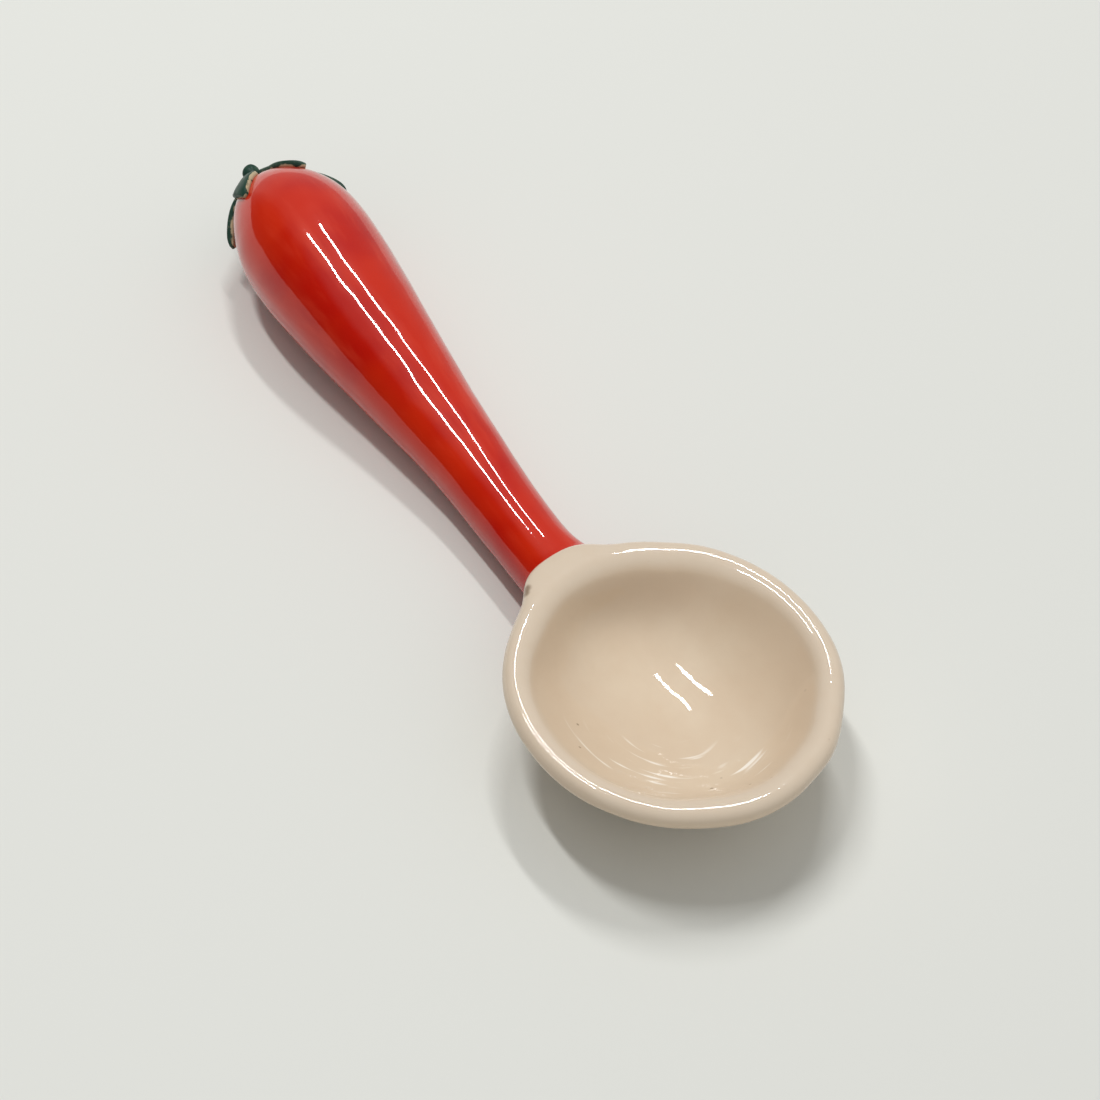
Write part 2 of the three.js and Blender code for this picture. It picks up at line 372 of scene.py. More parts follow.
class Glaze(NodeKit):
    """A fired glaze under construction."""

    def __init__(self, name):
        self.material = bpy.data.materials.new(name)
        self.material.use_nodes = True
        super().__init__(self.material.node_tree, "Object")
        self.shader = self.nodes["Principled BSDF"]

    def drawn_out(self, share):
        """The place on the piece with features drawn out along the handle."""
        return self.vector_math("MULTIPLY", self.place, (share, 1, 1))

    def drawn_round(self, share, way):
        """The place on the bowl with features drawn out round its axis, on the side that faces a way."""
        node = self.nodes.new("ShaderNodeCombineXYZ")
        level = self.vector_math("MULTIPLY", self.place, (1, 1, 0))
        self.link(self.vector_math("DISTANCE", level, (bowl_axis, 0, 0)), node.inputs["X"])
        across = Vector((-way.y, way.x, 0)) * share
        self.link(self.vector_math("DOT_PRODUCT", self.place, across), node.inputs["Y"])
        return node.outputs["Vector"]

    def height(self):
        """How high above the table a point of the piece is."""
        node = self.nodes.new("ShaderNodeSeparateXYZ")
        self.link(self.place, node.inputs["Vector"])
        return node.outputs["Z"]

    def attribute(self, name):
        """A value that the piece's mesh carries."""
        node = self.nodes.new("ShaderNodeAttribute")
        node.attribute_name = name
        return node.outputs["Fac"]

    def cloud(self, per_metre, detail=2.0, roughness=0.5, place=None):
        """Soft noise, 0 to 1."""
        node = self.nodes.new("ShaderNodeTexNoise")
        self.link(place or self.place, node.inputs["Vector"])
        node.inputs["Scale"].default_value = per_metre
        node.inputs["Detail"].default_value = detail
        node.inputs["Roughness"].default_value = roughness
        return node.outputs["Fac"]

    def patches(self, kind, place=None, weight=None):
        """Soft patches of a kind, 0 outside them, from a noise that a weight may fade."""
        field = self.cloud(kind.per_metre, kind.detail, kind.roughness, place)
        if weight is not None:
            field = self.times(weight, field)
        return self.span(field, kind.start, kind.full, 0, kind.strength)

    def pinholes(self, kind):
        """Scattered round specks of a kind, 0 outside them."""
        node = self.nodes.new("ShaderNodeTexVoronoi")
        self.link(self.place, node.inputs["Vector"])
        node.inputs["Scale"].default_value = kind.per_metre
        specks = self.span(node.outputs["Distance"], kind.size, kind.size * SPECK_CORE)
        return self.times(specks, self.patches(kind.where))

    def spot(self, centre, radius):
        """One soft spot: 1 in its middle, 0 outside."""
        return self.span(self.vector_math("DISTANCE", self.place, centre), radius, radius * SPOT_CORE)

    def mix(self, share, a, b):
        """A share of colour b over colour a, each a fixed colour or an output of a node."""
        node = self.nodes.new("ShaderNodeMix")
        node.data_type = "RGBA"
        self.link(share, node.inputs["Factor"])
        for value, socket in zip((a, b), (node.inputs[MIX_A], node.inputs[MIX_B])):
            if isinstance(value, bpy.types.NodeSocket):
                self.link(value, socket)
            else:
                socket.default_value = (*value, 1)
        return node.outputs[MIX_RESULT]

    def paint(self, value):
        """Colours the body."""
        self.link(value, self.shader.inputs["Base Color"])

    def ripple(self, ripples, depth=GLASS_RIPPLE_DEPTH):
        """Ripples body and coat alike."""
        normal = None
        for ripple in ripples:
            node = self.nodes.new("ShaderNodeBump")
            node.inputs["Strength"].default_value = ripple.strength
            node.inputs["Distance"].default_value = depth
            self.link(self.cloud(ripple.per_metre, ripple.detail), node.inputs["Height"])
            if normal is not None:
                self.link(normal, node.inputs["Normal"])
            normal = node.outputs["Normal"]
        self.link(normal, self.shader.inputs["Normal"])
        self.link(normal, self.shader.inputs["Coat Normal"])

    def gloss(self, roughness=BODY_ROUGHNESS, coat=1.0, coat_roughness=GLASS_ROUGHNESS):
        """A glassy coat over a body of uneven roughness that scatters light and mirrors almost none."""
        uneven = self.span(self.cloud(UNEVEN_GRAIN), *UNEVEN_LEVELS, *roughness)
        self.link(uneven, self.shader.inputs["Roughness"])
        self.shader.inputs["Specular IOR Level"].default_value = BODY_SPECULAR
        self.shader.inputs["Coat Weight"].default_value = coat
        self.shader.inputs["Coat Roughness"].default_value = coat_roughness
        self.shader.inputs["Coat IOR"].default_value = GLASS_IOR


# Bowl

# Where fingers pinched the lip in or out: angle from +X towards +Y, spread in degrees, and depth
LIP_PINCHES = (
    (45, 17, -0.6 * MM),
    (17, 10, -0.3 * MM),
    (-25, 12, -0.28 * MM),
    (-66, 14, 0.13 * MM),
    (-141, 19, -0.68 * MM),
    (148, 9, -0.3 * MM),
)
# Where the lip dips or rises: angle, spread and height
LIP_WAVES = (
    (20, 26, 0.45 * MM),
    (105, 9, 0.06 * MM),
    (-60, 12, 0.08 * MM),
    (-165, 40, 0.3 * MM),
)
# Where the lip bulges over the handle's root, and how squarely, and where its inner side is widest, with
# turns and spreads in degrees
TAB_TURN = -172
TAB_SPREAD = 17
TAB_POWER = 4
BACK_TURN = 150
BACK_SPREAD = 65
# How far the section's curves pull towards the corners of wall and foot, and of wall and floor
OUTSIDE_ROUNDING = 0.65
HOLLOW_ROUNDING = 0.66
# Points along the section: shares of the foot's radius, then steps up the wall, over the lip and down
FOOT_SHARES = (0.3, 0.6, 0.85, 1)
WALL_STEPS = 28
OUTER_ROLL_STEPS = 26
INNER_ROLL_STEPS = 18
HOLLOW_STEPS = 56
# The hollow's deepest place off the bowl's axis, how its bottom is drawn out along and across, and how
# soon both fade towards the wall
HOLLOW_SHIFT = Vector((-2.4, 1.8)) * MM
HOLLOW_DRAW = Vector((0.34, -0.1))
HOLLOW_FADE_POWER = 1.5
# Finger dents fade out below a height and are shallower on the lip
BOWL_DENT_START = 3 * MM
LIP_DENT_LOSS = 0.5
# The cream turns darker and warmer up the hollow's wall: where that starts above the floor, where it ends
# below the lip's top, and how much. On the lip it turns pale, between two depths below the top
WALL_ABOVE_FLOOR = 2 * MM
WALL_BELOW_LIP = 3 * MM
WALL_DARKENING = 0.5
PALE_LIP_LOW = 1.8 * MM
PALE_LIP_HIGH = 0.2 * MM
# Pools, mottling, pinholes and ripples of the cream glaze
CREAM_POOLS = Patches(55, 0.42, 0.68, 0.4)
CREAM_MOTTLE = Patches(420, 0.35, 0.8, 0.16, detail=3)
CREAM_PINHOLES = Pinholes(260, 0.09, Patches(90, 0.5, 0.6, 0.85))
CREAM_RIPPLES = (Ripple(200, 0.2), Ripple(700, 0.02))
# Painted highlights in the hollow: fine pale streaks that stand in for the lamps' glints off its front
# wall. The way from the bowl's axis, how far off they start and over what length they fade in, how far
# below the lip's top they start and are full, how much they are drawn out round the bowl, and the streaks
# themselves
GLINT_WAY = Vector((0.83, -0.56, 0))
GLINT_REACH = 4 * MM
GLINT_FADE = 4 * MM
GLINT_TOP = 3 * MM
GLINT_TOP_FULL = 5 * MM
GLINT_DRAW = 0.14
GLINT_STREAKS = Patches(1100, 0.6, 0.76, detail=1)
# A chip in the glaze of the lip, beside the handle: its strength, and its two spots, each with a place
# from the bowl's axis and a radius
CHIP_STRENGTH = 0.8
CHIPS = (
    (Vector((-23.4, -9.65, 15.95)) * MM, 1.0 * MM),
    (Vector((-22.7, -10.2, 15.9)) * MM, 0.9 * MM),
)


class Station(NamedTuple):
    """A point of the bowl's half section, and how far it follows the pinches, the tab and the hollow."""

    place: Vector
    pinch: float
    tab: float
    sink: float


def bowl_section(bowl, roll_in):
    """Half section from the foot over the lip to the middle of the hollow."""
    crest = bowl.width / 2 - bowl.roll_out
    out_centre = Vector((crest, bowl.height - bowl.roll_out))
    in_centre = Vector((crest, bowl.height - roll_in))
    out_way = Vector((math.sin(bowl.slope_out), -math.cos(bowl.slope_out)))
    in_way = Vector((-math.sin(bowl.slope_in), math.cos(bowl.slope_in)))
    outside = out_centre + out_way * bowl.roll_out
    inside = in_centre + in_way * roll_in
    foot = Vector((bowl.foot / 2, 0))
    out_corner = Vector((outside.x - outside.y / math.tan(bowl.slope_out), 0))
    in_corner = Vector((inside.x - (inside.y - bowl.floor) / math.tan(bowl.slope_in), bowl.floor))
    middle = Vector((0, bowl.floor))

    section = [Station(foot * share, 0, 0, 0) for share in FOOT_SHARES]
    low = foot.lerp(out_corner, OUTSIDE_ROUNDING)
    high = outside.lerp(out_corner, OUTSIDE_ROUNDING)
    wall = bezier(foot, low, high, outside, WALL_STEPS)
    for i, place in enumerate(wall):
        tab = smooth((place.x - crest) / bowl.roll_out)
        section.append(Station(place, smooth((i + 1) / len(wall)), tab, 0))
    upright = math.pi / 2
    rolls = (
        (out_centre, bowl.roll_out, bowl.slope_out - upright, upright, OUTER_ROLL_STEPS),
        (in_centre, roll_in, upright, upright + bowl.slope_in, INNER_ROLL_STEPS),
    )
    for centre, radius, first, last, steps in rolls:
        for i in range(1, steps + 1):
            turn = lerp(first, last, i / steps)
            place = centre + Vector((math.cos(turn), math.sin(turn))) * radius
            section.append(Station(place, 1, smooth((place.x - crest) / bowl.roll_out), 0))
    high = inside.lerp(in_corner, HOLLOW_ROUNDING)
    low = middle.lerp(in_corner, HOLLOW_ROUNDING)
    for place in bezier(inside, high, low, middle, HOLLOW_STEPS):
        share = place.x / inside.x
        section.append(Station(place, share**2, 0, (1 - share**2) ** HOLLOW_FADE_POWER))
    return section


def shape_bowl(bowl):
    """The bowl: its half section turned round its axis, pinched, waved and dented."""
    stretch = bowl.reach / bowl.width
    rings = []
    for near, back in zip(bowl_section(bowl, bowl.roll_in), bowl_section(bowl, bowl.roll_back)):
        ring = []
        for i in range(SIDES):
            turn = 2 * math.pi * i / SIDES
            degrees = math.degrees(turn)
            widened = hump(degrees, BACK_TURN, BACK_SPREAD)
            place = near.place.lerp(back.place, widened)
            pinch = lerp(near.pinch, back.pinch, widened)
            tab = lerp(near.tab, back.tab, widened)
            sink = lerp(near.sink, back.sink, widened)
            out = Vector((math.cos(turn), math.sin(turn)))
            moved = sum(hump(degrees, at, spread) * depth for at, spread, depth in LIP_PINCHES) * pinch
            moved += bowl.tab * hump(degrees, TAB_TURN, TAB_SPREAD, TAB_POWER) * tab
            along = (out.x * stretch * (1 + HOLLOW_DRAW.x * sink)) * place.x + out.x * moved
            across = (out.y * (1 + HOLLOW_DRAW.y * sink)) * place.x + out.y * moved
            shift = HOLLOW_SHIFT * sink
            wave = sum(hump(degrees, at, spread) * height for at, spread, height in LIP_WAVES) * pinch
            ring.append(Vector((bowl_axis + along + shift.x, across + shift.y, place.y + wave)))
        rings.append(ring)
    start = Vector((bowl_axis, 0, 0))
    end = Vector((bowl_axis + HOLLOW_SHIFT.x, HOLLOW_SHIFT.y, bowl.floor))
    piece = skin("glazed_bowl", rings[:-1], start, end)
    lip_foot = bowl.height - bowl.roll_in

    def softness(p):
        on_lip = smooth((p.z - lip_foot) / bowl.roll_in)
        return smooth(p.z / BOWL_DENT_START) * (1 - LIP_DENT_LOSS * on_lip)

    dent(piece, bowl.dents, DENT_GRAIN, softness)
    return piece


def cream_glaze(bowl):
    """Milky cream glaze, darker and warmer in pools and up the hollow's wall, pale on the lip, with
    pinholes, a chip and painted highlights: pale streaks on the hollow's front wall.
    """
    glaze = Glaze("cream_glaze")
    pooled = glaze.mix(glaze.patches(CREAM_POOLS), bowl.cream, bowl.thick_cream)
    wall_low = bowl.floor + WALL_ABOVE_FLOOR
    wall_high = bowl.height - WALL_BELOW_LIP
    on_wall = glaze.span(glaze.height(), wall_low, wall_high, 0, WALL_DARKENING)
    hollow = glaze.mix(on_wall, pooled, bowl.thick_cream)
    on_lip = glaze.span(glaze.height(), bowl.height - PALE_LIP_LOW, bowl.height - PALE_LIP_HIGH)
    milky = glaze.mix(on_lip, hollow, bowl.lip_cream)
    mottled = glaze.mix(glaze.patches(CREAM_MOTTLE), milky, bowl.thick_cream)
    chipped = glaze.mix(glaze.pinholes(CREAM_PINHOLES), mottled, bowl.speck)
    for place, radius in CHIPS:
        chip = glaze.spot(Vector((bowl_axis, 0, 0)) + place, radius)
        chipped = glaze.mix(glaze.times(chip, CHIP_STRENGTH), chipped, bowl.speck)
    # Painted highlights: fine pale streaks on the hollow's front wall, in place of the lamps' glints there
    forward = glaze.vector_math("DOT_PRODUCT", glaze.place, GLINT_WAY)
    glints_from = bowl_axis * GLINT_WAY.x + GLINT_REACH
    painted_glints = glaze.times(
        glaze.span(forward, glints_from, glints_from + GLINT_FADE),
        glaze.span(glaze.height(), bowl.height - GLINT_TOP, bowl.height - GLINT_TOP_FULL),
    )
    glint_streaks = glaze.patches(GLINT_STREAKS, glaze.drawn_round(GLINT_DRAW, GLINT_WAY))
    glaze.paint(glaze.mix(glaze.times(glint_streaks, painted_glints), chipped, bowl.painted_glints))
    glaze.ripple(CREAM_RIPPLES)
    glaze.gloss()
    return glaze.material


class SPOON_OT_bowl(bpy.types.Operator):
    """Make the pinched bowl with its rolled lip and cream glaze"""

    bl_idname = "spoon.bowl"
    bl_label = "Bowl"

    def execute(self, context):
        bowl, _, _, _ = settings(context)
        finish_piece(shape_bowl(bowl), cream_glaze(bowl), "cream_glaze", "bowl")
        return {"FINISHED"}


# Handle

# How late the handle swells towards its belly, and how bluntly it rounds off at its end
SWELL_POWER = 1.34
END_POWER = 2.08
# How late the root climbs to the lip, and how that climb rounds off towards its sides
ROOT_RISE_POWER = 1.6
CLIMB_POWER = 1.5
# Where the handle's own cross-sections stop, and where its underside ends against the bowl's wall
ROOT_REACH = 27 * MM
HEEL_REACH = 15.5 * MM
# Where the root's extra flare starts, how late it grows, and its share at the height of the middle line
SIDE_FLARE_START = 38 * MM
SIDE_FLARE_POWER = 3
SIDE_FLARE_LOW = 0.35
# How far the root keeps its flare on its way into the bowl's wall, and how far below the lip's top it is
ROOT_FOLLOW = 1.2 * MM
ROOT_BELOW_LIP = 1.6 * MM
# How deep the root ends in the bowl's wall, as a share of it
ROOT_IN_WALL = 0.2
# Below one height the root belongs more and more to the heel, and below another finger dents fade out
HEEL_HEIGHT = 8 * MM
HANDLE_DENT_START = 2.5 * MM
# Pools, strokes, pinholes and ripples of the red glaze, and how much the strokes are drawn out along the
# handle
RED_POOLS = Patches(60, 0.4, 0.65)
RED_STROKES = Patches(260, 0.46, 0.76, 0.6, detail=3, roughness=0.6)
RED_PINHOLES = Pinholes(200, 0.06, Patches(80, 0.55, 0.65))
RED_RIPPLES = (Ripple(120, 0.16), Ripple(600, 0.015))
STROKE_DRAW = 0.15
# Slow bends of the rolled handle: where along it, over what length, sideways and upwards
HANDLE_BENDS = (
    (60 * MM, 16 * MM, 0.35 * MM, 0.3 * MM),
    (93 * MM, 14 * MM, -0.3 * MM, -0.1 * MM),
    (120 * MM, 8 * MM, 0.6 * MM, 0),
)
# Soft ridges and flats left by the fingers: where along it, over what length, the turn from upright
# towards +Y and its spread in degrees, and the height
HANDLE_FACETS = (
    (97 * MM, 16 * MM, -10, 60, -0.2 * MM),
    (97 * MM, 16 * MM, -12, 17, 0.13 * MM),
    (97 * MM, 16 * MM, -38, 22, 0.35 * MM),
    (64 * MM, 13 * MM, -10, 25, -0.3 * MM),
)


def handle_radius(handle, reach):
    """Half the handle's width, flared at the root and rounded off at the end."""
    belly = handle.belly / 2
    neck = handle.neck / 2
    if reach >= handle.belly_reach:
        share = min(1, (reach - handle.belly_reach) / (handle.reach - handle.belly_reach))
        return belly * math.sqrt(1 - share**END_POWER)
    if reach >= handle.neck_reach:
        share = (reach - handle.neck_reach) / (handle.belly_reach - handle.neck_reach)
        return lerp(neck, belly, smooth(share**SWELL_POWER))
    return neck + (handle.flare / 2 - neck) * root_share(handle, reach) ** 2


def root_share(handle, reach):
    """0 at the neck and 1 where the handle meets the lip."""
    return min(1, max(0, (handle.neck_reach - reach) / (handle.neck_reach - BOWL_LENGTH / 2)))


def hump_along(reach, centre, spread):
    """1 at a place along the handle, falling to nothing on both sides of it."""
    return math.exp(-(((reach - centre) / spread) ** 2))


def handle_centre(handle, reach):
    """Sideways and upward place of the handle's middle line."""
    belly_centre = handle.belly / 2 - handle.flat_depth
    side = sum(hump_along(reach, at, spread) * across for at, spread, across, _ in HANDLE_BENDS)
    lift = sum(hump_along(reach, at, spread) * up for at, spread, _, up in HANDLE_BENDS)
    if reach >= handle.belly_reach:
        return Vector((side, belly_centre + lift))
    share = max(0, (reach - handle.neck_reach) / (handle.belly_reach - handle.neck_reach))
    clearance = lerp(handle.neck_lift, -handle.flat_depth, share)
    return Vector((side, handle_radius(handle, reach) + clearance + lift))


def handle_ring(handle, reach):
    """One cross-section: round, climbing to the bowl at the root and flat where it meets the table."""
    radius = handle_radius(handle, reach)
    centre = handle_centre(handle, reach)
    climb = handle.root_rise * root_share(handle, reach) ** ROOT_RISE_POWER
    heel_share = max(0, (handle.neck_reach - reach) / (handle.neck_reach - HEEL_REACH))
    heel = handle.heel_rise * heel_share**2
    facets = [
        (turn, spread, height * hump_along(reach, at, over))
        for at, over, turn, spread, height in HANDLE_FACETS
    ]
    flare_share = max(0, (SIDE_FLARE_START - reach) / (SIDE_FLARE_START - BOWL_LENGTH / 2))
    side_flare = handle.side_flare * flare_share**SIDE_FLARE_POWER
    ring = []
    for i in range(SIDES):
        turn = 2 * math.pi * i / SIDES
        up = math.cos(turn)
        side = math.sin(turn)
        out = radius + sum(hump(math.degrees(turn), at, spread) * height for at, spread, height in facets)
        z = centre.y + out * up + climb * max(0, up) ** CLIMB_POWER + heel * max(0, -up)
        y = centre.x + out * side + side_flare * max(0, side) * lerp(SIDE_FLARE_LOW, 1, max(0, up))
        ring.append(Vector((bowl_axis - reach, y, max(0, z))))
    return ring


def wall_reach(section, place):
    """How far a little under the bowl's outside is from its axis, at the height and side of a place."""
    heights = [station.place.y for station in section]
    crest = heights.index(max(heights))
    outer = next(station.place.x for station in section[:crest] if station.place.y >= place.z)
    inner = next((station.place.x for station in section[crest:] if station.place.y <= place.z), 0)
    return math.sqrt(max(0, lerp(outer, inner, ROOT_IN_WALL) ** 2 - place.y**2))


def root_rings(bowl, handle, steps):
    """Rings that close the root inside the bowl's wall, from the wall outwards, smooth with the handle."""
    section = bowl_section(bowl, bowl.roll_back)
    stretch = bowl.reach / bowl.width
    paths = []
    for p, q in zip(handle_ring(handle, ROOT_REACH), handle_ring(handle, ROOT_REACH + MM)):
        way = (p - q) / (p.x - q.x)
        heel_share = 1 - smooth(p.z / HEEL_HEIGHT)
        rise = lerp(max(0, way.z) * ROOT_FOLLOW, handle.heel_rise, heel_share)
        end = Vector((0, p.y + way.y * ROOT_FOLLOW, min(p.z + rise, bowl.height - ROOT_BELOW_LIP)))
        end.x = bowl_axis - wall_reach(section, end) * stretch
        leave = p + way.normalized() * ((end - p).length / 3)
        paths.append(bezier(p, leave, end.lerp(p, 1 / 3), end, steps))
    return [[path[i] for path in paths] for i in reversed(range(steps))]


def shape_handle(bowl, handle):
    """The handle: rings from inside the bowl's wall to the rounded end, dented."""
    root_steps = 10
    body_steps = 260
    end_steps = 50
    rings = root_rings(bowl, handle, root_steps)
    reaches = [lerp(ROOT_REACH, handle.belly_reach, i / body_steps) for i in range(body_steps)]
    end_length = handle.reach - handle.belly_reach
    reaches += [
        handle.belly_reach + end_length * math.sin(math.pi / 2 * i / end_steps) for i in range(end_steps)
    ]
    rings += [handle_ring(handle, reach) for reach in reaches]
    tip = handle_centre(handle, handle.reach)
    piece = skin("glazed_handle", rings, None, Vector((bowl_axis - handle.reach, tip.x, tip.y)))
    dent(piece, handle.dents, DENT_GRAIN, lambda p: smooth(p.z / HANDLE_DENT_START))
    return piece


def red_glaze(handle):
    """Glassy red glaze, deeper where it pooled and thinner in brush strokes along the handle."""
    glaze = Glaze("red_glaze")
    pooled = glaze.mix(glaze.patches(RED_POOLS), handle.red, handle.deep_red)
    strokes = glaze.patches(RED_STROKES, glaze.drawn_out(STROKE_DRAW))
    thin = glaze.mix(strokes, pooled, handle.thin_red)
    glaze.paint(glaze.mix(glaze.pinholes(RED_PINHOLES), thin, handle.thin_red))
    glaze.ripple(RED_RIPPLES)
    glaze.gloss()
    return glaze.material


class SPOON_OT_handle(bpy.types.Operator):
    """Make the pepper-shaped handle with its red glaze"""

    bl_idname = "spoon.handle"
    bl_label = "Handle"

    def execute(self, context):
        bowl, handle, _, _ = settings(context)
        finish_piece(shape_handle(bowl, handle), red_glaze(handle), "red_glaze", "handle")
        return {"FINISHED"}


# Calyx


class Leaf(NamedTuple):
    """A leaf's turn in degrees about the handle, from upright towards +Y, its length, its width at its
    widest and beside the stem, the share of its length where it is widest, how far its tip stands off
    the handle, and how bare of glaze its two long edges and its tip are."""

    turn: float
    reach: float
    width: float
    base: float
    widest: float
    lift: float
    bare_left: float
    bare_right: float
    bare_tip: float


LEAVES = (
    Leaf(33, 10.8 * MM, 5 * MM, 2.6 * MM, 0.7, 0.15 * MM, 0.52, 0.55, 0.95),
    Leaf(72, 15.5 * MM, 4 * MM, 1.6 * MM, 0.4, 0.25 * MM, 0.4, 0.55, 0.55),
    Leaf(172, 8.5 * MM, 6.6 * MM, 2 * MM, 0.4, 0.15 * MM, 0.65, 0.65, 0.65),
    Leaf(-113, 11 * MM, 6.6 * MM, 2 * MM, 0.4, 1.1 * MM, 0.5, 0.5, 0.5),
    Leaf(-42, 12.5 * MM, 6.2 * MM, 3.8 * MM, 0.4, 0.15 * MM, 0.55, 0.78, 0.6),
)
# How bluntly a leaf tapers to its tip, and how far under the stem's base it starts
LEAF_TAPER = 1.3
LEAF_UNDER_STEM = 1.1 * MM
# Cross-section of a leaf, from -1 to 1 across and in shares of its thickness upwards: places along its top
# and under it, heights on its sides, how much its top is crowned, how far it sinks into the handle, and
# where its cut edge starts
LEAF_TOP = (-0.92, -0.6, -0.3, 0, 0.3, 0.6, 0.92)
LEAF_UNDER = (0.96, 0.5, 0, -0.5, -0.96)
LEAF_SIDE = (0.7, 0.3)
LEAF_CROWN = 0.12
LEAF_SUNK = 0.25
LEAF_EDGE = 0.95
# The leaves rise to a collar beside the stem: its height, the share of a leaf's length it takes up, and
# how quickly it falls off
LEAF_COLLAR = 1.8 * MM
LEAF_COLLAR_SHARE = 0.4
LEAF_COLLAR_POWER = 1.5
# The share of a leaf's length where its tip starts to thin, how much of its thickness goes, and how bare
# of glaze its underside is
LEAF_TIP_START = 0.84
LEAF_TIP_THINNING = 0.85
LEAF_BARE_UNDERSIDE = 0.9
# The green glaze is duller than the others, runs thin in patches and breaks along the bare edges
GREEN_THIN = Patches(350, 0.45, 0.75, detail=3)
GREEN_BREAKS = Patches(600, 0.28, 0.4, detail=3)
GREEN_RIPPLES = (Ripple(500, 0.2, detail=3),)
GREEN_RIPPLE_DEPTH = 0.3 * MM
GREEN_ROUGHNESS = (0.35, 0.5)
GREEN_COAT = 0.06
GREEN_COAT_ROUGHNESS = 0.2
# The stem's base sinks into the handle's end and spreads there, its neck tapers quickly, and it is dented
STEM_SUNK = 0.4 * MM
STEM_SPREAD = 1.02
STEM_TAPER = 2.5
STEM_DENTS = 0.08 * MM
STEM_DENT_GRAIN = 1.6 * MM


def end_line(handle):
    """Points from the tip of the rounded end back over it: distance along, reach and radius."""
    samples = 240
    end_length = handle.reach - handle.belly_reach
    line = []
    along = 0
    for i in range(samples + 1):
        reach = handle.belly_reach + end_length * math.cos(math.pi / 2 * i / samples)
        point = Vector((reach, handle_radius(handle, reach)))
        if line:
            along += (point - line[-1][1]).length
        line.append((along, point))
    return line


def on_end(line, along, height):
    """Reach and radius of a place on the rounded end, at a height off its surface."""
    after = next(i for i in range(1, len(line)) if line[i][0] >= along)
    low, a = line[after - 1]
    high, b = line[after]
    out = Vector(((b - a).y, -(b - a).x)).normalized()
    return a.lerp(b, (along - low) / (high - low)) + out * height


def leaf_half_width(calyx, leaf, share):
    """Half a leaf's width at a share of its length."""
    if share < leaf.widest:
        return lerp(leaf.base, leaf.width, smooth(share / leaf.widest)) / 2
    taper = (share - leaf.widest) / (1 - leaf.widest)
    return lerp(leaf.width, calyx.leaf_tip, taper**LEAF_TAPER) / 2


def leaf_outline(thickness):
    """Cross-section of a leaf: place across, from -1 to 1, and height."""
    top = [(share, thickness * (1 - LEAF_CROWN * share * share)) for share in LEAF_TOP]
    right = [(1, height * thickness) for height in LEAF_SIDE]
    under = [(share, -LEAF_SUNK * thickness) for share in LEAF_UNDER]
    left = [(-1, height * thickness) for height in reversed(LEAF_SIDE)]
    return top + right + under + left


def shape_leaf(name, handle, calyx, leaf):
    """A leaf laid over the rounded end, with how bare of glaze each point is."""
    line = end_line(handle)
    outline = leaf_outline(calyx.leaf_thickness)
    start = calyx.stem_base / 2 - LEAF_UNDER_STEM
    steps = 26
    rings = []
    bare = []
    for i in range(steps + 1):
        share = i / steps
        half = leaf_half_width(calyx, leaf, share)
        collar = LEAF_COLLAR * max(0, 1 - share / LEAF_COLLAR_SHARE) ** LEAF_COLLAR_POWER
        at_tip = max(0, (share - LEAF_TIP_START) / (1 - LEAF_TIP_START))
        thinned = math.sqrt(1 - LEAF_TIP_THINNING * at_tip**2)
        ring = []
        for across, height in outline:
            lift = leaf.lift * share**2 + collar * max(0, height / calyx.leaf_thickness)
            place = on_end(line, start + leaf.reach * share, height * thinned + lift)
            around = math.radians(leaf.turn) + across * half / place.y
            side = handle_centre(handle, place.x) + Vector((math.sin(around), math.cos(around))) * place.y
            ring.append(Vector((bowl_axis - place.x, side.x, side.y)))
            edge = leaf.bare_right if across > 0 else leaf.bare_left
            if i == steps:
                bare.append(leaf.bare_tip)
            elif height < 0:
                bare.append(LEAF_BARE_UNDERSIDE)
            else:
                bare.append(edge if abs(across) > LEAF_EDGE else 0)
        rings.append(ring)
    piece = skin(name, rings)
    cut_edge = piece.data.attributes.new("cut_edge", "FLOAT", "POINT")
    cut_edge.data.foreach_set("value", bare)
    return piece


def green_glaze(calyx, name):
    """Dark green glaze that breaks to pale clay along the cut edges."""
    glaze = Glaze(name)
    leaf = glaze.mix(glaze.patches(GREEN_THIN), calyx.green, calyx.pale_green)
    bare = glaze.patches(GREEN_BREAKS, weight=glaze.attribute("cut_edge"))
    glaze.paint(glaze.mix(bare, leaf, calyx.cut_edge))
    glaze.ripple(GREEN_RIPPLES, GREEN_RIPPLE_DEPTH)
    glaze.gloss(GREEN_ROUGHNESS, GREEN_COAT, GREEN_COAT_ROUGHNESS)
    return glaze.material


class SPOON_OT_leaves(bpy.types.Operator):
    """Make the five leaves of the calyx"""

    bl_idname = "spoon.leaves"
    bl_label = "Leaves"

    def execute(self, context):
        _, handle, calyx, _ = settings(context)
        glaze = green_glaze(calyx, "green_glaze")
        for i, (node, leaf) in enumerate(zip(LEAF_NODES, LEAVES)):
            piece = shape_leaf(f"calyx_leaf_{i + 1}", handle, calyx, leaf)
            finish_piece(piece, glaze, "green_glaze", node)
        return {"FINISHED"}


